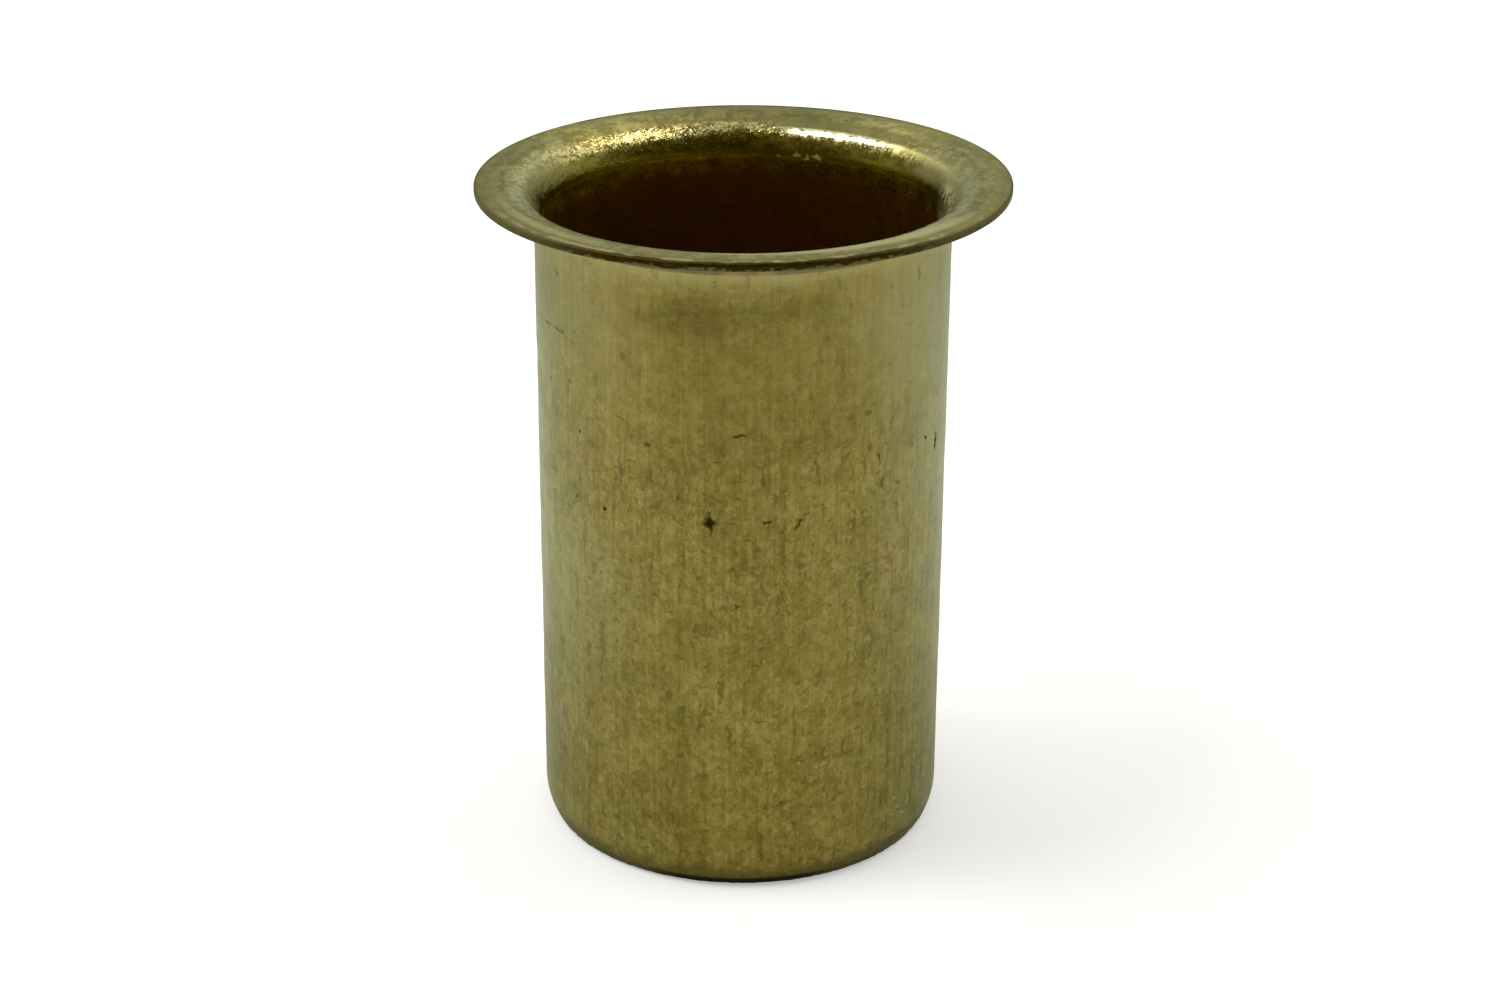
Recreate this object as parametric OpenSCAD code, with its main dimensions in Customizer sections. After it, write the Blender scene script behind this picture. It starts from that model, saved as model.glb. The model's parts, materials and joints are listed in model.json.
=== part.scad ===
// Brass tube insert: a thin drawn sleeve with an out-turned flange at its top
// and a lightly closed-in nose at its foot. It is pressed from one piece of strip,
// so the wall, the flange and the nose share one thickness.
// The axis is +Z, the foot of the nose is at z = 0 and the flange is on top.

/* [Sleeve] */
// Outside diameter of the straight sleeve, which slides into the tube
sleeve_od = 12.4; // [8:0.1:20]
// Overall length, from the foot of the nose to the top of the flange
overall_length = 20.5; // [10:0.5:40]
// Thickness of the brass, in the sleeve, the flange and the nose
wall = 0.23; // [0.15:0.01:0.6]

/* [Flange] */
// How far the flange stands out from the sleeve, measured along a radius
flange_reach = 1.75; // [1.3:0.05:4]
// Radius of the hollow corner between the sleeve and the underside of the flange
bend_radius = 1; // [0.3:0.05:1.4]

/* [Nose] */
// Radius of the outside of the nose, where the wall turns inward
nose_radius = 1.8; // [1:0.1:4]
// Angle that the wall has turned through at the foot, in degrees
nose_angle = 31; // [10:1:60]

/* [Edges] */
// Rounding of the two cut edges, at the rim of the flange and at the foot
edge_radius = 0.06; // [0.02:0.01:0.09]

/* [Hidden] */

arc_facets = 96;
turn_facets = 192;
brass_colour = [0.49, 0.44, 0.22];

sleeve_r = sleeve_od / 2;
bore_r = sleeve_r - wall;
flange_r = sleeve_r + flange_reach;

// The mouth is the rounded way into the bore, on the outside of the flange's bend.
mouth_radius = bend_radius + wall;
bend_centre = [sleeve_r + bend_radius, overall_length - mouth_radius];

// The foot's rounded outer edge is the lowest point, and it touches z = 0.
nose_height = (nose_radius - edge_radius) * sin(nose_angle) + edge_radius;
nose_centre = [sleeve_r - nose_radius, nose_height];

// A rectangle between two opposite corners.
module rectangle(low, high) {
    polygon([low, [high.x, low.y], high, [low.x, high.y]]);
}

// A strip's cut end. The strip runs along X up to x = 0 with its lower face on y = 0.
module cut_end() {
    rectangle([-edge_radius, edge_radius], [edge_radius, wall - edge_radius]);
    for (y = [edge_radius, wall - edge_radius])
        translate([0, y])
            circle(edge_radius, $fn = arc_facets);
}

// A ring one wall thick, whose inner radius is given.
module wall_ring(inner_radius) {
    difference() {
        circle(inner_radius + wall, $fn = arc_facets);
        circle(inner_radius, $fn = arc_facets);
    }
}

// The straight wall between the nose and the bend.
module sleeve_section() {
    rectangle([bore_r, nose_height], [sleeve_r, bend_centre.y]);
}

// A quarter turn from the wall to the flange, then the flat flange and its rim.
module flange_section() {
    translate(bend_centre)
        intersection() {
            wall_ring(bend_radius);
            rectangle([-mouth_radius, 0], [0, mouth_radius]);
        }
    underside = overall_length - wall;
    rectangle([bend_centre.x, underside], [flange_r - edge_radius, overall_length]);
    translate([flange_r - edge_radius, underside])
        cut_end();
}

// The wall turning inward below the sleeve, and the cut end that it stands on.
module nose_section() {
    inner_radius = nose_radius - wall;
    sector_reach = 2 * nose_radius;
    translate(nose_centre) {
        intersection() {
            wall_ring(inner_radius);
            polygon([
                [0, 0],
                [sector_reach, 0],
                [sector_reach, -sector_reach * tan(nose_angle)]
            ]);
        }
        rotate(-nose_angle)
            translate([inner_radius, 0])
                rotate(-90)
                    cut_end();
    }
}

module tube_insert() {
    color(brass_colour)
        rotate_extrude($fn = turn_facets) {
            sleeve_section();
            flange_section();
            nose_section();
        }
}

tube_insert();
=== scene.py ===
"""A brass tube insert that stands on its foot: one turned mesh with a drawn, tarnished brass finish."""
import json
import math

import bpy
import numpy as np
from mathutils import Matrix, Vector


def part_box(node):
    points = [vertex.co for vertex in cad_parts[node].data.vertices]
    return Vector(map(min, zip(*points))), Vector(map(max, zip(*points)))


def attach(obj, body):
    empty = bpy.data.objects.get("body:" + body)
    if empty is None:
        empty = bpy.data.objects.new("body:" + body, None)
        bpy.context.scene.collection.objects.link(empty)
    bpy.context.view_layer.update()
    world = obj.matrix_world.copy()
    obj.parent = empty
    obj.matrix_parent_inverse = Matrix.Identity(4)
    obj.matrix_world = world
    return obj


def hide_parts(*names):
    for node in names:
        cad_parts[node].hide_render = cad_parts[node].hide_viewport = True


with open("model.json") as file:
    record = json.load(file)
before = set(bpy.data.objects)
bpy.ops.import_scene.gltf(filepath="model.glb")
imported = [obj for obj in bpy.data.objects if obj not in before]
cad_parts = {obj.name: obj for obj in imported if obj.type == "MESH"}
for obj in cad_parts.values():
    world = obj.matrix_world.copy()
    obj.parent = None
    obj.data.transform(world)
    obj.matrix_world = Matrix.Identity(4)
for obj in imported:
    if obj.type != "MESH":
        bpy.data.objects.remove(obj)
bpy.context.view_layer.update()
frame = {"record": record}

MM = 0.001
NODE = "tube_insert"

# The photograph's frame and the camera that was fitted to the object's outline in it.
# Its angles are in radians.
IMAGE_W, IMAGE_H = 1500, 989
FOCAL_PX = 2979.5
AIM_PX = (741.8, 496.2)
CAMERA_DISTANCE = 91.9 * MM
CAMERA_ELEVATION = math.radians(23.0)
CAMERA_ROLL = 0.005

# The insert's own sizes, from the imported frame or, where that holds none, as in the part's source.
# Radii and heights are in metres, and the angle is in degrees.
mounts = {mount["name"]: mount for mount in frame["record"]["mounts"]}
box_low, box_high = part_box(NODE)
HEIGHT = box_high.z
FLANGE_R = min(box_high.x, box_high.y, -box_low.x, -box_low.y)
SLEEVE_R = mounts["sleeve_outside"]["dims"]["r_mm"] * MM
BORE_R = mounts["through_bore"]["dims"]["r_mm"] * MM
WALL = SLEEVE_R - BORE_R
BEND_RADIUS = 1.0 * MM
MOUTH_RADIUS = BEND_RADIUS + WALL
NOSE_RADIUS = 1.8 * MM
NOSE_ANGLE = 31
EDGE_RADIUS = 0.06 * MM

# The same sizes in millimetres, which the material is drawn in.
TOP = HEIGHT / MM
RIM = FLANGE_R / MM
SLEEVE = SLEEVE_R / MM

# Soft waves make the sleeve a little out of round. Each has a count around the sleeve, a slope in
# radians per millimetre of height, and a phase.
WAVES = [(5, 0.9, 0.0), (11, -1.7, 1.0), (17, 2.9, 2.0)]
WAVE_DEPTH = 0.003 * MM
WAVE_LOW, WAVE_HIGH, WAVE_FADE = 1.5 * MM, 18.5 * MM, 2 * MM

# A ding at the sleeve's left, at an angle in degrees from the front, and the foot's ragged cut.
DING_ANGLE = -78
DING_HEIGHT = 15.1 * MM
DING_WIDTH = 0.9 * MM
DING_LENGTH = 0.28 * MM
DING_DEPTH = 0.05 * MM
RAGGED_DEPTH = 0.010 * MM
RAGGED_HEIGHT = 0.5 * MM

# The flange leans: it rises this much per metre to the right and to the back. The lean sets in
# between two heights.
LEAN_RIGHT = 0.0052
LEAN_BACK = 0.0025
LEAN = math.hypot(LEAN_RIGHT, LEAN_BACK)
LEAN_HEIGHTS = (17.5 * MM, 19.5 * MM)

# How finely the surface is divided.
TURN_STEPS = 400
SLEEVE_STEPS = 110
BORE_STEPS = 40
FLAT_STEPS = 4
MOUTH_STEPS = 22
BEND_STEPS = 14
NOSE_STEPS = 10
EDGE_STEPS = 5

# One pit with points: degrees from the front, height, length, thickness (mm), tilt (degrees).
STAR_PIT = (-8.5, 12.0, 0.85, 1.15, 8)
# The other marks: strength, degrees from the front, height, length, thickness (mm), tilt (degrees).
PITS_AND_SCRATCHES = [
    (0.8, 7.0, 12.05, 0.42, 0.10, 4),
    (0.7, 15.4, 11.95, 0.40, 0.13, 60),
    (0.4, 16.9, 12.2, 0.34, 0.13, 10),
    (0.9, -40.0, 11.85, 0.12, 0.22, 0),
    (0.6, -1.4, 9.4, 0.12, 0.20, 20),
    (0.75, -0.6, 14.75, 0.45, 0.11, 5),
    (0.65, -26.0, 14.2, 0.20, 0.18, 30),
    (0.4, -17.0, 12.7, 0.14, 0.18, 0),
    (0.4, -6.8, 13.9, 0.26, 0.12, 0),
    (0.4, -2.8, 12.0, 0.35, 0.09, 0),
    (0.3, 11.3, 11.2, 0.07, 2.4, 0),
    (0.3, 6.0, 10.65, 1.1, 0.06, 0),
    # A crack and specks at the left.
    (0.5, -66.3, 16.77, 0.75, 0.11, 5),
    (0.5, -59.9, 16.80, 0.75, 0.10, -2),
    (0.3, -54.0, 16.70, 0.60, 0.06, -12),
    (0.6, -65.0, 15.1, 0.14, 0.16, 0),
    (0.4, -53.8, 15.4, 0.25, 0.12, 0),
    (0.35, -54.9, 15.05, 0.09, 0.5, 0),
    (0.7, -49.6, 14.0, 0.12, 0.14, 0),
    (0.3, -50.7, 13.6, 0.07, 1.2, 0),
    (0.4, -49.9, 12.5, 0.18, 0.14, 0),
    (0.4, -51.2, 11.9, 0.14, 0.12, 0),
    (0.3, -33.4, 13.2, 0.20, 0.30, 0),
    (0.3, -33.4, 16.75, 0.20, 0.25, 0),
    (0.5, -60.0, 18.55, 0.16, 0.30, 20),
    # A scratch, a pit and specks at the right.
    (0.4, 54.6, 18.75, 0.10, 0.45, 0),
    (1.0, 68.0, 13.05, 0.16, 0.75, 0),
    (1.0, 60.6, 13.47, 0.16, 0.22, 45),
    (0.65, 39.6, 13.55, 0.12, 0.28, 0),
    (0.4, 35.8, 15.0, 0.30, 0.20, 0),
    (0.4, 36.5, 13.95, 0.20, 0.25, 0),
    (0.5, 41.0, 12.7, 0.14, 0.40, -10),
    (0.4, 47.4, 12.5, 0.35, 0.16, -30),
    (0.4, 53.7, 12.8, 0.15, 0.20, 0),
    (0.4, 36.8, 9.9, 0.30, 0.20, 0),
    # A winding scratch and specks near the foot.
    (0.3, 16.0, 4.22, 0.55, 0.13, -5),
    (0.3, 20.5, 4.32, 0.55, 0.14, 25),
    (0.3, 24.6, 4.53, 0.50, 0.13, 15),
    (0.3, 19.1, 5.09, 0.30, 0.10, 30),
    (0.4, 6.85, 2.71, 0.22, 0.16, 0),
    (0.3, 11.3, 2.84, 0.20, 0.14, 0),
    (0.35, 17.2, 6.51, 0.40, 0.09, 40),
    (0.3, 25.2, 6.39, 0.35, 0.09, 40),
]
# Pale flecks at the right, most of them near the foot.
PALE_FLECKS = [
    (0.6, 49.5, 1.94, 0.30, 0.10, -10),
    (0.6, 51.6, 1.53, 0.30, 0.09, -20),
    (0.5, 53.7, 1.25, 0.50, 0.10, -25),
    (0.4, 48.4, 1.40, 0.40, 0.08, -15),
    (0.4, 49.5, 0.68, 0.50, 0.10, -10),
    (0.8, 50.4, 10.2, 0.09, 0.12, 0),
]
# Painted glints: short pale marks inside the mouth, at its back.
THROAT_GLINTS = [
    (0.5, 169.5, 19.38, 0.24, 0.16, 0),
    (1.0, 163.7, 19.44, 0.34, 0.20, 10),
    (0.9, 160.8, 19.40, 0.18, 0.26, 0),
    (1.0, 157.6, 19.45, 0.40, 0.22, 10),
]
# Painted shade under the flange, at the front, in streaky patches.
UNDER_FLANGE_SHADE = [
    (0.85, -13.5, 18.2, 4.2, 1.8, 0),
    (0.45, 4.0, 18.35, 6.5, 0.95, 3),
]
# Broad stretches of the sleeve that are a little darker.
BROAD_SHADES = [
    (1.0, 3.0, 14.9, 6.0, 3.2, 0),
    (0.6, -17.0, 5.5, 3.0, 3.0, 0),
    (0.9, 38.0, 7.8, 2.6, 6.0, 0),
    (0.6, -34.0, 2.4, 3.0, 3.0, 0),
    (0.6, 36.0, 2.4, 3.0, 3.0, 0),
]

# Colours on the sleeve: linear red, green and blue.
# Painted reflection that pales the sleeve at its sides and under the flange.
PALE_REFLECTION_COLOUR = (0.31, 0.29, 0.13)
TICK_COLOUR = (0.085, 0.068, 0.008)
# Painted shade under the flange.
UNDER_FLANGE_SHADE_COLOUR = (0.095, 0.075, 0.012)
# Painted shade in the corner under the flange.
CORNER_SHADE_COLOUR = (0.125, 0.115, 0.050)
# The foot's brown tarnish and painted shade, and a painted shadow line at its lowest edge.
FOOT_TARNISH_AND_SHADE_COLOUR = (0.085, 0.066, 0.014)
SOLE_SHADOW_COLOUR = (0.018, 0.014, 0.003)
FLECK_COLOUR = (0.36, 0.34, 0.18)
PIT_COLOUR = (0.020, 0.015, 0.002)
DUST_COLOUR = (0.92, 1.0, 0.82)
# Colours on the flange and in its mouth.
# The next four are painted light in the bell: shade around its glints, a highlight under its right glint,
# and dark and pale sparkle under its left glint.
RING_SHADE_COLOUR = (0.165, 0.145, 0.055)
GLINT_STREAK_COLOUR = (0.62, 0.585, 0.32)
SPARKLE_SHADE_COLOUR = (0.12, 0.10, 0.03)
GLINT_SPARKLE_COLOUR = (0.60, 0.52, 0.22)
BELL_SIDE_COLOUR = (0.25, 0.225, 0.095)
# Painted glints on the mouth's shoulder.
SHOULDER_GLINT_COLOUR = (0.48, 0.44, 0.22)
DEEP_COLOUR = (0.160, 0.120, 0.007)
BROWN_COLOUR = (0.20, 0.140, 0.028)
LIT_RIGHT_COLOUR = (0.50, 0.45, 0.23)
LIT_LEFT_COLOUR = (0.42, 0.38, 0.18)
EDGE_COLOUR = (0.17, 0.125, 0.040)
# A painted highlight along the flange's front lip.
LIP_HIGHLIGHT_COLOUR = (0.44, 0.40, 0.24)
# A painted highlight at the mouth's right end, and painted glints in its throat.
MOUTH_END_HIGHLIGHT_COLOUR = (0.72, 0.65, 0.32)
THROAT_GLINT_COLOUR = (1.00, 0.80, 0.20)
# Tints, which a colour is multiplied by.
WARM_TINT = (1.02, 0.985, 0.98)
COOL_TINT = (0.98, 1.01, 1.02)
GREY_TINT = (0.98, 0.98, 1.20)
SIDE_TINT = (0.89, 0.89, 0.92)
SHADE_TINT = (0.84, 0.81, 0.68)
EDGE_TINT = (0.96, 0.91, 0.78)
MOTTLE_DARK_TINT = (0.6, 0.6, 0.5)
MOTTLE_LIGHT_TINT = (1.4, 1.4, 1.3)
# Tints of what the metal mirrors at a flat angle.
GLANCING_TINT = (0.6, 0.66, 0.6)
DEEP_GLANCING_TINT = (0.5, 0.42, 0.12)

BUMP_HEIGHT = 0.012 * MM

FLOOR_HALF = 1.0
FLOOR_COLOUR = (0.70, 0.70, 0.70)
FLOOR_GLOW = 0.34
WHITE = (1.0, 1.0, 1.0)

# Long lamps: name, the directions of both ends (azimuth and elevation, in degrees), width, level, colour.
LAMP_DISTANCE = 160 * MM
COOL_LIGHT = (1.0, 0.99, 0.95)
WARM_LIGHT = (1.0, 0.95, 0.82)
LAMPS = [
    ("lamp_left_high", (-48, 69), (-88, 56), 21 * MM, 20.0, COOL_LIGHT),
    ("lamp_left", (-88, 56), (-108, 50), 18 * MM, 20.0, COOL_LIGHT),
    ("lamp_left_low", (-108, 50), (-152, 20), 12 * MM, 3.0, COOL_LIGHT),
    ("lamp_right_high", (76, 66), (112, 54), 17 * MM, 11.0, WARM_LIGHT),
    ("lamp_right", (112, 54), (140, 44), 14 * MM, 5.0, WARM_LIGHT),
    ("lamp_right_low", (140, 44), (170, 16), 12 * MM, 1.2, WARM_LIGHT),
]


def arc(centre, radius, start, end, steps):
    """Points on an arc in the (radius, height) plane, from one angle in degrees to another."""
    turn = np.radians(np.linspace(start, end, steps + 1))
    return [(centre[0] + radius * math.cos(a), centre[1] + radius * math.sin(a)) for a in turn]


def line(start, end, steps):
    """Points inside a straight stretch, without its two ends."""
    shares = np.linspace(0, 1, steps + 1)[1:-1]
    return [tuple((1 - s) * np.array(start) + s * np.array(end)) for s in shares]


def section():
    """The closed outline of the wall, up the outside, over the flange and down the bore."""
    turn = math.radians(NOSE_ANGLE)
    foot_height = (NOSE_RADIUS - EDGE_RADIUS) * math.sin(turn) + EDGE_RADIUS
    nose = (SLEEVE_R - NOSE_RADIUS, foot_height)
    bend = (SLEEVE_R + BEND_RADIUS, HEIGHT - MOUTH_RADIUS)
    rim_r = FLANGE_R - EDGE_RADIUS
    underside = HEIGHT - WALL
    inner_nose = NOSE_RADIUS - WALL

    def on_cut(radius):
        return (nose[0] + radius * math.cos(turn), nose[1] - radius * math.sin(turn))

    outer_edge = on_cut(NOSE_RADIUS - EDGE_RADIUS)
    inner_edge = on_cut(inner_nose + EDGE_RADIUS)
    pieces = [
        arc(outer_edge, EDGE_RADIUS, -NOSE_ANGLE - 90, -NOSE_ANGLE, EDGE_STEPS),
        arc(nose, NOSE_RADIUS, -NOSE_ANGLE, 0, NOSE_STEPS)[1:],
        line((SLEEVE_R, nose[1]), (SLEEVE_R, bend[1]), SLEEVE_STEPS),
        arc(bend, BEND_RADIUS, 180, 90, BEND_STEPS),
        line((bend[0], underside), (rim_r, underside), FLAT_STEPS),
        arc((rim_r, underside + EDGE_RADIUS), EDGE_RADIUS, -90, 0, EDGE_STEPS),
        arc((rim_r, HEIGHT - EDGE_RADIUS), EDGE_RADIUS, 0, 90, EDGE_STEPS),
        line((rim_r, HEIGHT), (bend[0], HEIGHT), FLAT_STEPS),
        arc(bend, MOUTH_RADIUS, 90, 180, MOUTH_STEPS),
        line((BORE_R, bend[1]), (BORE_R, nose[1]), BORE_STEPS),
        arc(nose, inner_nose, 0, -NOSE_ANGLE, NOSE_STEPS)[:-1],
        arc(inner_edge, EDGE_RADIUS, 180 - NOSE_ANGLE, 270 - NOSE_ANGLE, EDGE_STEPS),
    ]
    return np.array([point for piece in pieces for point in piece])


def unevenness(turn, height):
    """How far the wall stands out at each turn and height: soft waves, a ding and a ragged foot."""
    a, z = np.meshgrid(turn, height, indexing="ij")
    waves = sum(np.sin(count * a + slope * z / MM + phase) for count, slope, phase in WAVES)
    straight = np.clip((z - WAVE_LOW) / WAVE_FADE, 0, 1) * np.clip((WAVE_HIGH - z) / WAVE_FADE, 0, 1)
    away = (a - math.radians(DING_ANGLE) + math.pi) % (2 * math.pi) - math.pi
    ding = np.exp(-((away * SLEEVE_R / DING_WIDTH) ** 2) - ((z - DING_HEIGHT) / DING_LENGTH) ** 2)
    ragged = np.sin(67 * a) * np.sin(41 * a + 1) + np.sin(93 * a + 2) * np.sin(29 * a)
    foot = np.clip(1 - z / RAGGED_HEIGHT, 0, 1)
    return straight * WAVE_DEPTH * waves - DING_DEPTH * ding + foot * RAGGED_DEPTH * ragged


def flange_drop(x, y, height):
    """How far a point hangs below its true height, as the flange leans to its left and front."""
    share = np.clip((height - LEAN_HEIGHTS[0]) / (LEAN_HEIGHTS[1] - LEAN_HEIGHTS[0]), 0, 1)
    return share * (LEAN * FLANGE_R - LEAN_RIGHT * x - LEAN_BACK * y)


def turned_mesh(name, outline):
    """A closed mesh: the outline turned about Z, with a map that unrolls it for baking."""
    turn = np.arange(TURN_STEPS) * (2 * math.pi / TURN_STEPS)
    rings = len(outline)
    radius = outline[:, 0] + unevenness(turn, outline[:, 1])
    x = np.sin(turn)[:, None] * radius
    y = -np.cos(turn)[:, None] * radius
    height = np.tile(outline[:, 1], (TURN_STEPS, 1))
    points = np.stack([x, y, height - flange_drop(x, y, height)], axis=-1).reshape(-1, 3)
    step, ring = np.meshgrid(np.arange(TURN_STEPS), np.arange(rings), indexing="ij")
    next_step, next_ring = (step + 1) % TURN_STEPS, (ring + 1) % rings
    faces = np.stack(
        [
            step * rings + ring,
            next_step * rings + ring,
            next_step * rings + next_ring,
            step * rings + next_ring,
        ],
        axis=-1,
    ).reshape(-1, 4)
    mesh = bpy.data.meshes.new(name)
    mesh.from_pydata(points.tolist(), [], faces.tolist())
    mesh.shade_smooth()
    unroll(mesh, outline, step, ring)
    mesh.validate()
    return mesh


def unroll(mesh, outline, step, ring):
    """Lays the turned surface out as one rectangle: around the axis by along the outline."""
    closed = np.vstack([outline, outline[:1]])
    length = np.concatenate([[0], np.cumsum(np.hypot(*np.diff(closed, axis=0).T))])
    along = length / length[-1]
    around = np.arange(TURN_STEPS + 1) / TURN_STEPS
    corners = np.stack(
        [
            np.stack([around[step], along[ring]], -1),
            np.stack([around[step + 1], along[ring]], -1),
            np.stack([around[step + 1], along[ring + 1]], -1),
            np.stack([around[step], along[ring + 1]], -1),
        ],
        axis=-2,
    )
    layer = mesh.uv_layers.new(name="OFBake")
    layer.uv.foreach_set("vector", corners.astype(np.float32).ravel())


class Graph:
    """The nodes of one material or of the world.

    A value given for a socket is linked, or set on it. Colours are given as red, green and blue.
    """

    def __init__(self, tree):
        self.tree = tree
        tree.nodes.clear()

    def add(self, kind, inputs, output=0, **settings):
        """A new node's output, or the node itself where it has none."""
        node = self.tree.nodes.new(kind)
        for name, value in settings.items():
            setattr(node, name, value)
        for key, value in inputs.items():
            socket = node.inputs[key]
            if isinstance(value, bpy.types.NodeSocket):
                self.tree.links.new(value, socket)
            else:
                socket.default_value = (*value, 1.0) if socket.type == "RGBA" else value
        return node.outputs[output] if node.outputs else node

    def math(self, operation, *values, clamp=False):
        return self.add("ShaderNodeMath", dict(enumerate(values)), operation=operation, use_clamp=clamp)

    def product(self, first, *others):
        """All the values multiplied."""
        total = first
        for value in others:
            total = self.math("MULTIPLY", total, value)
        return total

    def vector(self, operation, *values, output=0):
        return self.add("ShaderNodeVectorMath", dict(enumerate(values)), output, operation=operation)

    def fade(self, value, start, end, low=0.0, high=1.0):
        """A smooth step from low to high while value goes from start to end."""
        inputs = {"Value": value, "From Min": start, "From Max": end, "To Min": low, "To Max": high}
        return self.add("ShaderNodeMapRange", inputs, interpolation_type="SMOOTHSTEP")

    def band(self, value, start, full, fading, end):
        """1 from full to fading, with smooth edges that reach 0 at start and at end."""
        return self.product(self.fade(value, start, full), self.fade(value, end, fading))

    def mix(self, factor, a, b, blend="MIX"):
        inputs = {"Factor": factor, 6: a, 7: b}
        return self.add("ShaderNodeMix", inputs, 2, data_type="RGBA", blend_type=blend)

    def noise(self, vector, scale, detail=2.0, roughness=0.5):
        inputs = {"Vector": vector, "Scale": scale, "Detail": detail, "Roughness": roughness}
        return self.add("ShaderNodeTexNoise", inputs)

    def ramp(self, value, *stops):
        """A colour ramp through stops of (position, colour)."""
        output = self.add("ShaderNodeValToRGB", {"Fac": value})
        elements = output.node.color_ramp.elements
        while len(elements) < len(stops):
            elements.new(0.5)
        for element, (position, colour) in zip(elements, stops):
            element.position = position
            element.color = (*colour, 1.0)
        return output


def even(level):
    """A colour or a vector with three equal parts."""
    return (level, level, level)


def surface_frame(g):
    """Where a point lies on the insert, in millimetres: the sockets that the patterns are drawn from.

    flow has the direction from the axis, kept at the sleeve's radius, and the way along the wall, so
    that what is stretched along it follows the metal from the sleeve over the flange. unrolled has the
    way around the sleeve from its front, and the height. inset is the way in from the flange's rim.
    facing is 1 where the surface faces away from the axis and -1 where it faces the axis. side goes
    from -1 at the left to 1 at the right, across from 0 to 1, and beside is 1 at both. back goes from
    -1 at the front to 1 at the back.
    """
    coordinates = g.add("ShaderNodeTexCoord", {}, "Object")
    place = g.add("ShaderNodeVectorMath", {0: coordinates, "Scale": 1 / MM}, operation="SCALE")
    parts = g.add("ShaderNodeSeparateXYZ", {"Vector": place}).node.outputs
    x, y, z = parts["X"], parts["Y"], parts["Z"]
    radius = g.math("SQRT", g.math("MULTIPLY_ADD", x, x, g.math("MULTIPLY", y, y)))
    side = g.math("DIVIDE", x, radius)
    back = g.math("DIVIDE", y, radius)
    outward = g.add("ShaderNodeCombineXYZ", {"X": side, "Y": back})
    on_sleeve = g.add("ShaderNodeVectorMath", {0: outward, "Scale": SLEEVE}, operation="SCALE")
    along = g.add("ShaderNodeCombineXYZ", {"Z": g.math("ADD", z, radius)})
    normal = g.add("ShaderNodeNewGeometry", {}, "Normal")
    angle = g.math("ARCTAN2", x, g.math("MULTIPLY", y, -1.0))
    around = g.math("MULTIPLY", angle, SLEEVE)
    return {
        "height": z,
        "inset": g.math("SUBTRACT", RIM, radius),
        "side": side,
        "across": g.math("MULTIPLY_ADD", side, 0.5, 0.5),
        "beside": g.math("ABSOLUTE", side),
        "back": back,
        "flow": g.vector("ADD", on_sleeve, along),
        "unrolled": g.add("ShaderNodeCombineXYZ", {"X": around, "Y": z}),
        "facing": g.vector("DOT_PRODUCT", normal, outward, output=1),
    }


def blotches(g, vector, scale, softness):
    """Patches from 0 to 1 with fairly sharp edges."""
    return g.fade(g.noise(vector, scale, 2.0, 0.6), 0.5 - softness, 0.5 + softness)


def cells(g, vector, scale):
    """Small patches, each of one level from 0 to 1, like a mosaic."""
    inputs = {"Vector": vector, "Scale": scale, "Randomness": 1.0}
    colour = g.add("ShaderNodeTexVoronoi", inputs, "Color", distance="CHEBYCHEV")
    return g.add("ShaderNodeSeparateColor", {"Color": colour}, "Red")


def moved(g, vector, noise_scale, distance):
    """The vector, shifted by a noise of the given scale by about the distance."""
    noise = g.noise(vector, noise_scale, 1.0).node.outputs["Color"]
    departure = g.vector("SUBTRACT", noise, even(0.5))
    # The noise departs from its middle by about a quarter.
    return g.vector("MULTIPLY_ADD", departure, even(4 * distance), vector)


def stretched(g, vector, around, along):
    """A flow vector for a pattern that repeats this many times as often around and along the wall."""
    return g.vector("MULTIPLY", vector, (around, around, along))


def weighted(g, middle, *terms):
    """A middle value plus each pattern's departure from 0.5, times its weight."""
    total = middle
    for pattern, weight in terms:
        total = g.math("ADD", total, g.math("MULTIPLY", g.math("SUBTRACT", pattern, 0.5), weight))
    return total


def from_middle(g, unrolled, degrees, height, length, thickness, tilt):
    """The offset from a mark's middle, scaled so that the mark's ellipse is the unit circle."""
    inputs = {
        "Vector": unrolled,
        "Location": (math.radians(degrees) * SLEEVE, height, 0),
        "Rotation": (0, 0, math.radians(tilt)),
        "Scale": (length / 2, thickness / 2, 1),
    }
    return g.add("ShaderNodeMapping", inputs, vector_type="TEXTURE")


def marks(g, unrolled, places, core):
    """The strongest of the listed marks. Each fades from its core, a share of its radius, outwards."""
    total = None
    for strength, *place in places:
        reach = g.vector("LENGTH", from_middle(g, unrolled, *place), output=1)
        mark = g.fade(reach, 1.05, core, 0.0, strength)
        total = g.math("MAXIMUM", total, mark) if total else mark
    return total


def star_pit(g, unrolled):
    """One pit with points along and across it."""
    offset = g.vector("ABSOLUTE", from_middle(g, unrolled, *STAR_PIT))
    arms = g.vector("POWER", offset, (0.6, 0.6, 1.0))
    reach = g.vector("DOT_PRODUCT", arms, (1.0, 1.0, 0.0), output=1)
    return g.fade(reach, 1.1, 0.5)


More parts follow.
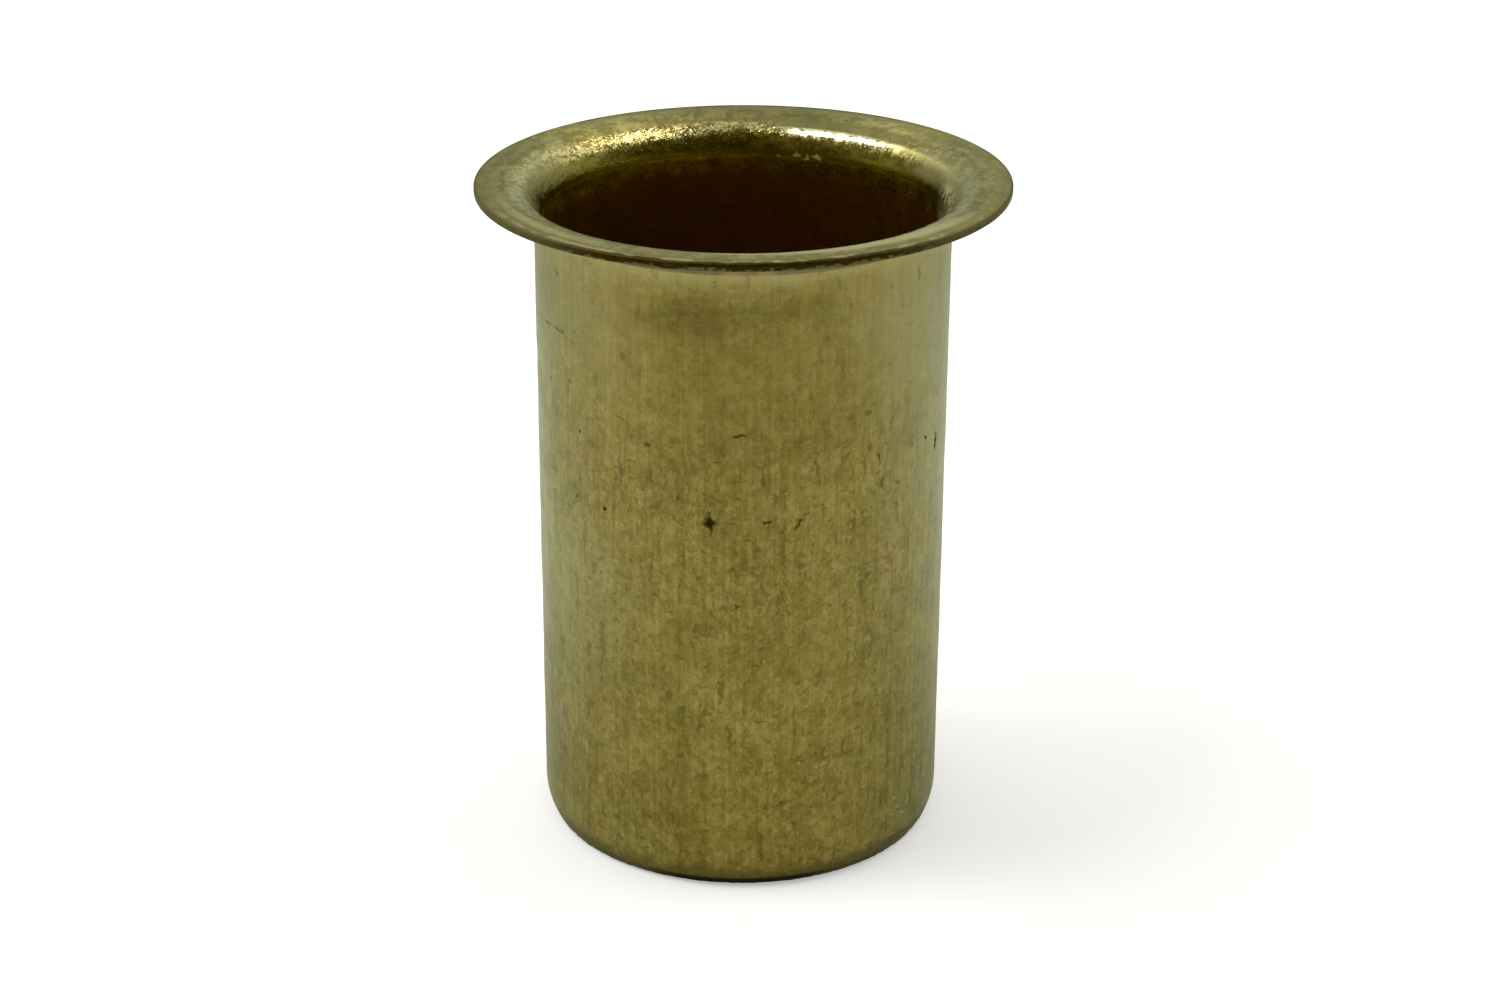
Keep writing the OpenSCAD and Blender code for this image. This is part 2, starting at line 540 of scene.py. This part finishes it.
def patterns(g, flow):
    """Patterns that run with the metal, each from 0 to 1."""
    crumpled = moved(g, flow, 4.0, 0.06)
    strokes = g.noise(stretched(g, crumpled, 1, 2.2), 2.7)
    posts = g.noise(stretched(g, crumpled, 2, 0.4), 2.0)
    return {
        "fine_lines": g.noise(stretched(g, flow, 1, 0.12), 11.0, 1.0),
        "long_lines": g.noise(stretched(g, flow, 1, 0.012), 4.5, 3.0, 0.65),
        "draw_lines": g.noise(stretched(g, flow, 1, 0.02), 9.0, 2.0, 0.6),
        "clouds": g.noise(flow, 0.35, 1.0),
        "hue": g.noise(flow, 0.7, 2.0),
        "wear": g.noise(flow, 1.6, 2.0),
        "rings": g.noise(stretched(g, flow, 0.05, 1), 3.0),
        "patches": blotches(g, flow, 1.1, 0.12),
        "mosaic": cells(g, stretched(g, crumpled, 1, 0.8), 3.0),
        "chips": cells(g, stretched(g, crumpled, 1, 0.7), 7.5),
        "grain": g.noise(flow, 13.0, 1.0),
        "strokes": strokes,
        "ticks": g.math("MAXIMUM", g.fade(strokes, 0.64, 0.70), g.fade(posts, 0.62, 0.70)),
    }


def regions(g, at, pattern):
    """Parts of the surface, each a mask from 0 to 1.

    The bell is the mouth's rounded way in, the throat its inner part and deep the end of that, where
    the bore begins. The ends are the far left and right.
    """
    outside = g.fade(at["facing"], 0.1, 0.3)
    flange = g.product(g.fade(at["height"], TOP - 1.7, TOP - 1.2), g.fade(at["facing"], 0.1, 0.0))
    bell = g.band(at["facing"], -0.1, -0.45, -0.95, -0.99)
    worn_rim = g.product(g.fade(pattern["wear"], 0.45, 0.60, 0.10, 0.03), g.fade(at["beside"], 0.75, 0.55))
    foot_edge = weighted(g, at["height"], (pattern["wear"], 1.0))
    turned = g.math("ADD", at["facing"], g.fade(at["beside"], 0.08, 0.30, 0.03, 0.09))
    jagged = g.fade(at["beside"], 0.70, 0.92, 0.2, 0.03)
    throat_edge = weighted(g, turned, (pattern["fine_lines"], jagged), (pattern["grain"], jagged))
    deep_edge = weighted(g, at["facing"], (pattern["wear"], 0.05))
    return {
        "outside": outside,
        "inside": g.fade(at["facing"], -0.985, -1.0),
        "flange": flange,
        "bell": g.product(bell, flange),
        "throat": g.fade(throat_edge, -0.64, -0.76),
        "deep": g.fade(deep_edge, -0.93, -0.98),
        "ends": g.fade(at["beside"], 0.80, 0.94),
        "rim": g.fade(g.math("SUBTRACT", at["inset"], worn_rim), 0.080, 0.055),
        "foot": g.product(g.fade(foot_edge, 0.85, 0.35), outside),
    }


def sleeve_tone(g, at, pattern, busy):
    """How light the sleeve is, from 0 to 1: lighter upwards and lightest just under the flange, where it
    is a painted reflection, with draw lines and mottles.
    """
    # Lighter upwards; the steep rise just under the flange is a painted reflection.
    by_height = g.ramp(
        g.math("DIVIDE", at["height"], TOP),
        (0.0, even(0.42)),
        (0.25, even(0.48)),
        (0.90, even(0.52)),
        (0.92, even(0.60)),
        (0.95, even(0.68)),
    )
    coarse = weighted(
        g,
        by_height,
        (pattern["patches"], 0.08),
        (pattern["mosaic"], 0.16),
        (pattern["long_lines"], 0.40),
        (pattern["draw_lines"], g.fade(at["beside"], 0.46, 0.78, 0.15, 0.35)),
        (pattern["clouds"], 0.30),
    )
    fine = weighted(
        g,
        0.0,
        (pattern["chips"], 0.26),
        (pattern["fine_lines"], 0.33),
        (pattern["grain"], 0.46),
    )
    shade = marks(g, at["unrolled"], BROAD_SHADES, 0.0)
    return g.math("MULTIPLY_ADD", fine, busy, g.math("MULTIPLY_ADD", shade, -0.12, coarse))


def sleeve_painted_reflection(g, at):
    """How much painted reflection pales the sleeve: under the flange, at its upper sides, at the right and
    in a patch at the left.
    """
    high = g.product(g.fade(at["beside"], 0.40, 0.65), g.fade(at["height"], 14.0, 18.0), 0.32)
    under_flange = g.fade(at["height"], TOP - 1.6, TOP - 1.0, 0.0, 0.4)
    right = g.product(g.fade(at["side"], 0.62, 0.82), g.fade(at["height"], 10.0, 14.0), 0.24)
    left = g.product(g.fade(at["side"], -0.45, -0.75), g.band(at["height"], 5.0, 8.0, 9.5, 12.0), 0.22)
    return g.math("ADD", g.math("MAXIMUM", high, under_flange), g.math("ADD", right, left))


def sleeve_colour(g, at, pattern):
    """Mottled olive tarnish with dark ticks, calmer towards the flange and at the sides, with painted
    reflection at the sides and painted shade under the flange and in its corner.
    """
    calm = g.math("MAXIMUM", g.fade(at["height"], 13.0, 16.5), g.fade(at["beside"], 0.5, 0.9, 0.0, 0.4))
    busy = g.math("MULTIPLY_ADD", calm, -0.5, 1.0)
    colour = g.ramp(
        sleeve_tone(g, at, pattern, busy),
        (0.20, (0.128, 0.102, 0.0135)),
        (0.50, (0.206, 0.167, 0.035)),
        (0.80, (0.300, 0.248, 0.068)),
    )
    # Painted reflection: paler at the sides and just under the flange.
    colour = g.mix(sleeve_painted_reflection(g, at), colour, PALE_REFLECTION_COLOUR)
    tint = g.mix(g.fade(pattern["hue"], 0.38, 0.62), WARM_TINT, COOL_TINT)
    colour = g.mix(1.0, colour, tint, "MULTIPLY")
    colour = g.mix(g.product(pattern["ticks"], busy, 0.6), colour, TICK_COLOUR)
    # Painted shade under the flange, in streaky patches.
    shade_below_flange = marks(g, moved(g, at["unrolled"], 1.6, 0.16), UNDER_FLANGE_SHADE, 0.0)
    shade_below_flange = g.product(shade_below_flange, g.fade(pattern["strokes"], 0.30, 0.62, 0.45, 0.95))
    colour = g.mix(shade_below_flange, colour, UNDER_FLANGE_SHADE_COLOUR)
    # Painted shade in the corner under the flange, broken by wear.
    corner = g.fade(at["height"], TOP - 1.0, TOP - 0.93)
    corner = g.product(corner, g.fade(pattern["wear"], 0.30, 0.55, 0.45, 0.90))
    return g.mix(corner, colour, CORNER_SHADE_COLOUR)


def plate_colour(g, at, pattern):
    """The flange's flat: greyer brass with faint rings, with painted highlights at the left and right of
    its back and painted shade between them.
    """
    tone = weighted(
        g,
        0.5,
        (pattern["wear"], 1.5),
        (pattern["rings"], 0.9),
        (pattern["chips"], 0.45),
        (pattern["grain"], 0.8),
        (pattern["fine_lines"], 0.2),
    )
    plate = g.ramp(
        tone,
        (0.25, (0.190, 0.160, 0.050)),
        (0.50, (0.265, 0.228, 0.078)),
        (0.75, (0.330, 0.300, 0.115)),
    )
    # Painted highlights at the left and right of the back, and painted shade in its middle.
    painted_light_and_shade = g.ramp(
        at["across"],
        (0.25, (1.40, 1.38, 1.28)),
        (0.32, (1.15, 1.14, 1.10)),
        (0.40, (0.80, 0.82, 0.85)),
        (0.62, (0.80, 0.82, 0.85)),
        (0.74, (1.00, 1.00, 1.02)),
        (0.84, (1.60, 1.56, 1.50)),
    )
    return g.mix(g.fade(at["back"], 0.45, 0.70), plate, painted_light_and_shade, "MULTIPLY")


def with_painted_glints(g, at, pattern, colour):
    """Paints light in the bell's back, where the lamps' glints fall: a darker ring as painted shade, a
    pale streak at its right as a painted highlight, and pale and dark specks at its left as painted
    sparkle.
    """
    at_back = g.fade(at["back"], 0.0, 0.35)
    # Painted shade: a darker ring around the bell's back, just inside the glints.
    ring_shade = g.band(at["facing"], -0.15, -0.42, -0.60, -0.66)
    ring_shade = g.product(ring_shade, g.fade(at["side"], -0.25, 0.30, 0.0, 0.75), at_back)
    colour = g.mix(ring_shade, colour, RING_SHADE_COLOUR)
    ring = g.product(g.band(at["facing"], -0.46, -0.56, -0.78, -0.85), at_back)
    # Painted highlight: a pale streak under the right glint, which makes it whiter.
    right = g.product(
        ring,
        g.band(at["side"], 0.10, 0.25, 0.66, 0.84),
        g.fade(pattern["chips"], 0.10, 0.45, 0.3, 0.9),
        g.fade(at["facing"], -0.59, -0.65),
    )
    colour = g.mix(right, colour, GLINT_STREAK_COLOUR)
    # Painted sparkle: dark and pale specks under the left glint.
    specks = weighted(
        g,
        0.5,
        (pattern["fine_lines"], 0.2),
        (pattern["grain"], 1.5),
        (pattern["chips"], 0.6),
    )
    sparkle_paint = g.mix(g.fade(specks, 0.35, 0.65), SPARKLE_SHADE_COLOUR, GLINT_SPARKLE_COLOUR)
    left = g.product(ring, g.fade(at["side"], 0.20, 0.05), g.fade(at["side"], 0.0, -0.3, 0.5, 0.8))
    return g.mix(left, colour, sparkle_paint)


def with_shoulders(g, at, pattern, mask, colour):
    """Makes the bell plain at its ends, and paints a chain of glints on its shoulder there, more so at the
    left.
    """
    colour = g.mix(g.product(mask["ends"], mask["bell"], 0.75), colour, BELL_SIDE_COLOUR)
    # Painted highlight: a chain of glints on the shoulder near the ends.
    shoulder = g.product(
        g.band(at["inset"], 0.845, 1.095, 1.345, 1.595),
        g.fade(at["beside"], 0.75, 0.92),
        g.fade(at["side"], 0.5, -0.5, 0.5, 1.0),
        g.fade(pattern["chips"], 0.25, 0.85, 0.25, 0.95),
    )
    return g.mix(shoulder, colour, SHOULDER_GLINT_COLOUR)


def throat_colour(g, at, pattern, mask):
    """Dark olive tarnish with mottles, browner in the middle. How dark it is across the mouth is partly
    painted shade, and its lighter ends are a painted reflection.
    """
    # Painted shade and reflection: the throat's darkness is set by place across the mouth.
    dark = g.ramp(
        at["across"],
        (0.03, (0.235, 0.205, 0.062)),
        (0.10, (0.145, 0.125, 0.027)),
        (0.20, (0.065, 0.054, 0.006)),
        (0.37, (0.127, 0.100, 0.0065)),
        (0.50, (0.150, 0.106, 0.007)),
        (0.63, (0.260, 0.200, 0.018)),
        (0.80, (0.100, 0.085, 0.014)),
        (0.90, (0.095, 0.081, 0.012)),
        (0.97, (0.200, 0.178, 0.080)),
    )
    mottle = weighted(g, 0.0, (pattern["chips"], 0.4), (pattern["grain"], 0.7), (pattern["wear"], 1.0))
    mottle = g.math("MULTIPLY_ADD", mottle, g.math("MULTIPLY_ADD", mask["ends"], -0.75, 1.0), 0.5)
    tint = g.mix(g.fade(mottle, 0.2, 0.8), MOTTLE_DARK_TINT, MOTTLE_LIGHT_TINT)
    return g.mix(1.0, dark, tint, "MULTIPLY")


def with_front(g, at, colour):
    """Turns the front of the flat greyer, lights it at its right and far left, and browns its edge."""
    in_front = g.fade(at["back"], -0.25, -0.50)
    flat = g.product(in_front, g.fade(at["inset"], 0.345, 0.495))
    colour = g.mix(flat, colour, GREY_TINT, "MULTIPLY")
    lit_right = g.product(
        in_front,
        g.fade(g.math("MULTIPLY_ADD", at["side"], 0.4, at["inset"]), 0.695, 0.945),
        g.fade(at["side"], -0.25, -0.03, 0.0, 0.9),
        g.fade(at["side"], 0.92, 0.70),
    )
    colour = g.mix(lit_right, colour, LIT_RIGHT_COLOUR)
    lit_left = g.product(
        in_front,
        g.band(at["inset"], 0.395, 0.525, 0.695, 0.825),
        g.fade(at["side"], -0.45, -0.65, 0.0, 0.6),
    )
    colour = g.mix(lit_left, colour, LIT_LEFT_COLOUR)
    shaded = g.product(in_front, g.fade(at["inset"], 0.695, 0.845), g.fade(at["side"], -0.05, -0.25))
    colour = g.mix(shaded, colour, SHADE_TINT, "MULTIPLY")
    edge = g.product(in_front, g.fade(at["inset"], 0.495, 0.345))
    colour = g.mix(edge, colour, EDGE_TINT, "MULTIPLY")
    foremost = g.product(edge, g.fade(at["back"], -0.85, -0.96, 0.0, 0.35))
    return g.mix(foremost, colour, EDGE_COLOUR)


def flange_colour(g, at, pattern, mask):
    """The flat, the bell and the throat, with brown wear towards the rim and a painted highlight along the
    front lip.
    """
    colour = plate_colour(g, at, pattern)
    colour = with_painted_glints(g, at, pattern, colour)
    colour = with_shoulders(g, at, pattern, mask, colour)
    colour = g.mix(mask["throat"], colour, throat_colour(g, at, pattern, mask))
    colour = g.mix(mask["deep"], colour, DEEP_COLOUR)
    browned = g.product(g.fade(at["inset"], 0.645, 0.195), g.fade(pattern["wear"], 0.38, 0.56, 0.0, 0.75))
    colour = g.mix(browned, colour, BROWN_COLOUR)
    colour = g.mix(g.fade(at["beside"], 0.80, 0.97), colour, SIDE_TINT, "MULTIPLY")
    colour = with_front(g, at, colour)
    # Painted highlight: a broken pale line along the front lip.
    lip = g.product(g.fade(at["inset"], 0.345, 0.265), g.fade(at["back"], -0.30, -0.55))
    lip = g.product(lip, g.fade(pattern["wear"], 0.48, 0.58, 0.0, 0.7))
    return g.mix(lip, colour, LIP_HIGHLIGHT_COLOUR)


def bore_colour(g, at, pattern):
    """Dark brown, with olive mottles near the mouth."""
    level = g.math("MULTIPLY_ADD", at["side"], -0.1, at["height"])
    level = weighted(g, level, (pattern["wear"], 1.0), (pattern["grain"], 0.6))
    return g.ramp(
        g.fade(level, TOP - 1.0, TOP - 1.75),
        (0.0, (0.42, 0.32, 0.004)),
        (1.0, (0.19, 0.082, 0.006)),
    )


def rim_colour(g, at, pattern):
    """The flange's cut edge: dark brown at the front, above a lighter line along its lower part, which is
    a painted reflection, and olive at the sides.
    """
    # The level is the height that a point would have without the flange's lean.
    rise = g.vector("DOT_PRODUCT", at["flow"], (LEAN_RIGHT, LEAN_BACK, 0), output=1)
    drop = g.math("MULTIPLY_ADD", rise, -RIM / SLEEVE, LEAN * RIM)
    level = g.math("ADD", at["height"], drop)
    level = weighted(g, level, (pattern["wear"], 0.25), (pattern["chips"], 0.12))
    level = g.fade(level, TOP - WALL / MM, TOP)
    # The lowest stop, the lighter line, is a painted reflection of the floor.
    front = g.ramp(
        level,
        (0.10, (0.095, 0.085, 0.030)),
        (0.28, (0.028, 0.017, 0.002)),
        (0.88, (0.030, 0.018, 0.002)),
        (0.98, (0.046, 0.029, 0.005)),
    )
    sides = g.ramp(
        level,
        (0.10, (0.062, 0.052, 0.017)),
        (0.60, (0.095, 0.080, 0.028)),
        (1.00, (0.105, 0.084, 0.027)),
    )
    return g.mix(g.fade(at["beside"], 0.50, 0.85), front, sides)


def with_mouth_highlights(g, at, colour):
    """Paints a highlight at the mouth's right end, and glints as short pale marks inside it at the back.
    """
    # Painted highlight: pale at the mouth's right end.
    right_end_highlight = g.product(
        g.fade(at["side"], 0.93, 0.99),
        g.fade(at["back"], 0.26, 0.08),
        g.fade(at["height"], TOP - 1.9, TOP - 1.5),
        g.fade(at["facing"], -0.72, -0.92),
    )
    colour = g.mix(right_end_highlight, colour, MOUTH_END_HIGHLIGHT_COLOUR)
    # Painted glints: short pale marks inside the mouth at its back.
    uneven = moved(g, at["unrolled"], 6.0, 0.07)
    glint_dashes = g.product(g.fade(at["facing"], -0.6, -0.8), marks(g, uneven, THROAT_GLINTS, 0.4))
    return g.mix(glint_dashes, colour, THROAT_GLINT_COLOUR)


def with_foot_tarnish_and_shade(g, at, mask, colour):
    """Darkens the foot with brown tarnish and painted shade, and paints a shadow line along its lowest
    edge, above all at the front.
    """
    # Brown tarnish and painted shade at the foot.
    colour = g.mix(g.product(mask["foot"], 0.7), colour, FOOT_TARNISH_AND_SHADE_COLOUR)
    # Painted shadow: a dark line along the lowest edge, most at the front.
    sole_shadow = g.product(g.fade(at["height"], 0.30, 0.18), g.fade(at["back"], -0.85, -0.97, 0.2, 1.0))
    return g.mix(g.product(sole_shadow, mask["outside"]), colour, SOLE_SHADOW_COLOUR)


def brass_colour(g, at, pattern, mask, pits):
    """The colours of all the regions, one over the other."""
    colour = sleeve_colour(g, at, pattern)
    colour = g.mix(mask["flange"], colour, flange_colour(g, at, pattern, mask))
    colour = g.mix(mask["inside"], colour, bore_colour(g, at, pattern))
    colour = with_mouth_highlights(g, at, colour)
    colour = g.mix(mask["rim"], colour, rim_colour(g, at, pattern))
    colour = with_foot_tarnish_and_shade(g, at, mask, colour)
    flecks = g.product(mask["outside"], marks(g, at["unrolled"], PALE_FLECKS, 0.4))
    colour = g.mix(flecks, colour, FLECK_COLOUR)
    return g.mix(pits, colour, PIT_COLOUR)


def brass_roughness(g, at, pattern, mask):
    """Satin on the sleeve, smoother on the flange and smoothest in the bell, away from its ends."""
    satin = weighted(g, 0.46, (pattern["mosaic"], 0.06), (pattern["grain"], 0.15))
    satin = g.math("MULTIPLY_ADD", mask["flange"], -0.12, satin)
    polish = weighted(g, g.fade(at["beside"], 0.6, 0.9, -0.22, 0.0), (pattern["chips"], 0.2))
    return g.math("MULTIPLY_ADD", mask["bell"], polish, satin)


def dust_film(g, at, pattern, mask, pits):
    """How much pale dust lies outside: more upwards and at the right, none in pits, at rim or foot."""
    bare = g.math("MAXIMUM", g.math("MAXIMUM", pits, mask["foot"]), mask["rim"])
    return g.product(
        g.math("SUBTRACT", mask["outside"], bare, clamp=True),
        g.fade(at["height"], 0.5, 12.0, 0.12, 0.32),
        g.fade(at["side"], -0.5, -0.85, 1.0, 1.06),
        g.fade(at["side"], 0.5, 0.85, 1.0, 1.45),
        weighted(g, 1.0, (pattern["mosaic"], 0.35), (pattern["long_lines"], 0.6)),
    )


def brass_relief(g, at, pattern, mask):
    """Heights for the bump: strokes, fine lines and grain, coarser in the left of the bell."""
    coarse_bell = g.product(mask["bell"], g.fade(at["side"], 0.10, 0.30, 1.0, -0.8))
    strokes = g.product(pattern["strokes"], g.math("MULTIPLY_ADD", coarse_bell, 0.8, 0.8))
    lines = g.product(pattern["fine_lines"], g.math("MULTIPLY_ADD", mask["bell"], -0.4, 0.5))
    grain = g.product(pattern["grain"], g.math("MULTIPLY_ADD", coarse_bell, 0.5, 0.4))
    return g.math("ADD", g.math("ADD", strokes, lines), grain)


def brass_material():
    """Drawn brass: an olive sleeve, a greyer flange and a brown bore, with a film of dust outside."""
    material = bpy.data.materials.new("drawn_brass")
    material.use_nodes = True
    g = Graph(material.node_tree)
    at = surface_frame(g)
    pattern = patterns(g, at["flow"])
    mask = regions(g, at, pattern)
    jittered = moved(g, at["unrolled"], 7.0, 0.05)
    pits = g.math("MAXIMUM", star_pit(g, jittered), marks(g, jittered, PITS_AND_SCRATCHES, 0.7))
    pits = g.product(mask["outside"], pits)
    bump = {"Height": brass_relief(g, at, pattern, mask), "Strength": 1.0, "Distance": BUMP_HEIGHT}
    surface = g.add(
        "ShaderNodeBsdfPrincipled",
        {
            "Base Color": brass_colour(g, at, pattern, mask, pits),
            "Metallic": 1.0,
            "Roughness": brass_roughness(g, at, pattern, mask),
            "Specular Tint": g.mix(mask["deep"], GLANCING_TINT, DEEP_GLANCING_TINT),
            "Sheen Weight": dust_film(g, at, pattern, mask, pits),
            "Sheen Roughness": 0.5,
            "Sheen Tint": DUST_COLOUR,
            "Normal": g.add("ShaderNodeBump", bump),
        },
    )
    g.add("ShaderNodeOutputMaterial", {"Surface": surface})
    return material


def make_insert():
    """The insert, which stands in for its plain solid."""
    mesh = turned_mesh(NODE + "_brass", section())
    mesh.materials.append(brass_material())
    insert = bpy.data.objects.new("brass_insert", mesh)
    bpy.context.scene.collection.objects.link(insert)
    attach(insert, "root")
    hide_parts(NODE)


def floor_material():
    """White paint that glows a little where it is seen, so that it looks white and keeps the shadow."""
    material = bpy.data.materials.new("floor_white")
    material.use_nodes = True
    g = Graph(material.node_tree)
    rays = g.add("ShaderNodeLightPath", {}).node.outputs
    seen = g.math("ADD", rays["Is Camera Ray"], rays["Is Glossy Ray"], clamp=True)
    seen = g.math("ADD", seen, rays["Is Transmission Ray"], clamp=True)
    paint = g.add("ShaderNodeBsdfDiffuse", {"Color": FLOOR_COLOUR})
    glow = g.add("ShaderNodeEmission", {"Color": WHITE, "Strength": g.math("MULTIPLY", seen, FLOOR_GLOW)})
    g.add("ShaderNodeOutputMaterial", {"Surface": g.add("ShaderNodeAddShader", {0: paint, 1: glow})})
    return material


def make_floor():
    """A plain white floor that keeps the object's shadow."""
    corners = [(-1, -1), (1, -1), (1, 1), (-1, 1)]
    mesh = bpy.data.meshes.new("floor")
    mesh.from_pydata([(x * FLOOR_HALF, y * FLOOR_HALF, 0) for x, y in corners], [], [(0, 1, 2, 3)])
    mesh.materials.append(floor_material())
    floor = bpy.data.objects.new("floor", mesh)
    bpy.context.scene.collection.objects.link(floor)


def direction(azimuth, elevation):
    """A unit vector. Azimuth 0 is towards the camera and 90 is +X, both in degrees."""
    a, e = math.radians(azimuth), math.radians(elevation)
    return Vector((math.sin(a) * math.cos(e), -math.cos(a) * math.cos(e), math.sin(e)))


def strip_lamp(name, start, end, width, level, colour):
    """A long lamp that faces the insert and reaches from one direction to another, at LAMP_DISTANCE.

    Its level is the brightness of its face, where 1 is white.
    """
    ends = [direction(*start) * LAMP_DISTANCE, direction(*end) * LAMP_DISTANCE]
    middle = (ends[0] + ends[1]) / 2
    away = middle.normalized()
    long_axis = (ends[1] - ends[0]).normalized()
    lamp = bpy.data.lights.new(name, "AREA")
    lamp.shape = "RECTANGLE"
    lamp.size = (ends[1] - ends[0]).length
    lamp.size_y = width
    lamp.energy = level * math.pi * lamp.size * lamp.size_y
    lamp.color = colour
    light = bpy.data.objects.new(name, lamp)
    turn = Matrix((long_axis, away.cross(long_axis), away)).transposed().to_4x4()
    light.matrix_world = Matrix.Translation(middle + Vector((0, 0, HEIGHT))) @ turn
    bpy.context.scene.collection.objects.link(light)


def make_world():
    """A plain studio: dim on the camera's side, bright at the sides and behind the insert."""
    world = bpy.data.worlds.new("studio")
    bpy.context.scene.world = world
    world.use_nodes = True
    g = Graph(world.node_tree)
    sight = g.add("ShaderNodeTexCoord", {}, "Generated")
    depth = g.add("ShaderNodeSeparateXYZ", {"Vector": sight}, "Y")
    level = g.ramp(
        g.math("MULTIPLY_ADD", depth, 0.5, 0.5),
        (0.0, (0.10, 0.09, 0.08)),
        (0.22, (0.22, 0.21, 0.20)),
        (0.5, (1.1, 1.12, 1.1)),
        (0.7, (1.05, 1.05, 1.0)),
        (1.0, (0.88, 0.87, 0.80)),
    )
    light = g.add("ShaderNodeBackground", {"Color": level, "Strength": 1.0})
    g.add("ShaderNodeOutputWorld", {"Surface": light})


def make_camera():
    """The photograph's camera. It looks at the insert's middle, which lies at AIM_PX in the image."""
    lens = bpy.data.cameras.new("camera")
    lens.lens = FOCAL_PX / IMAGE_W * lens.sensor_width
    lens.shift_x = (IMAGE_W / 2 - AIM_PX[0]) / IMAGE_W
    lens.shift_y = (AIM_PX[1] - IMAGE_H / 2) / IMAGE_W
    lens.clip_start = 1 * MM
    camera = bpy.data.objects.new("camera", lens)
    away = Vector((0, -math.cos(CAMERA_ELEVATION), math.sin(CAMERA_ELEVATION)))
    turn = away.to_track_quat("Z", "Y").to_matrix().to_4x4() @ Matrix.Rotation(CAMERA_ROLL, 4, "Z")
    camera.matrix_world = Matrix.Translation(Vector((0, 0, HEIGHT / 2)) + away * CAMERA_DISTANCE) @ turn
    bpy.context.scene.collection.objects.link(camera)
    bpy.context.scene.camera = camera


make_insert()
make_floor()
for lamp_values in LAMPS:
    strip_lamp(*lamp_values)
make_world()
make_camera()
bpy.context.scene.view_settings.view_transform = "Standard"
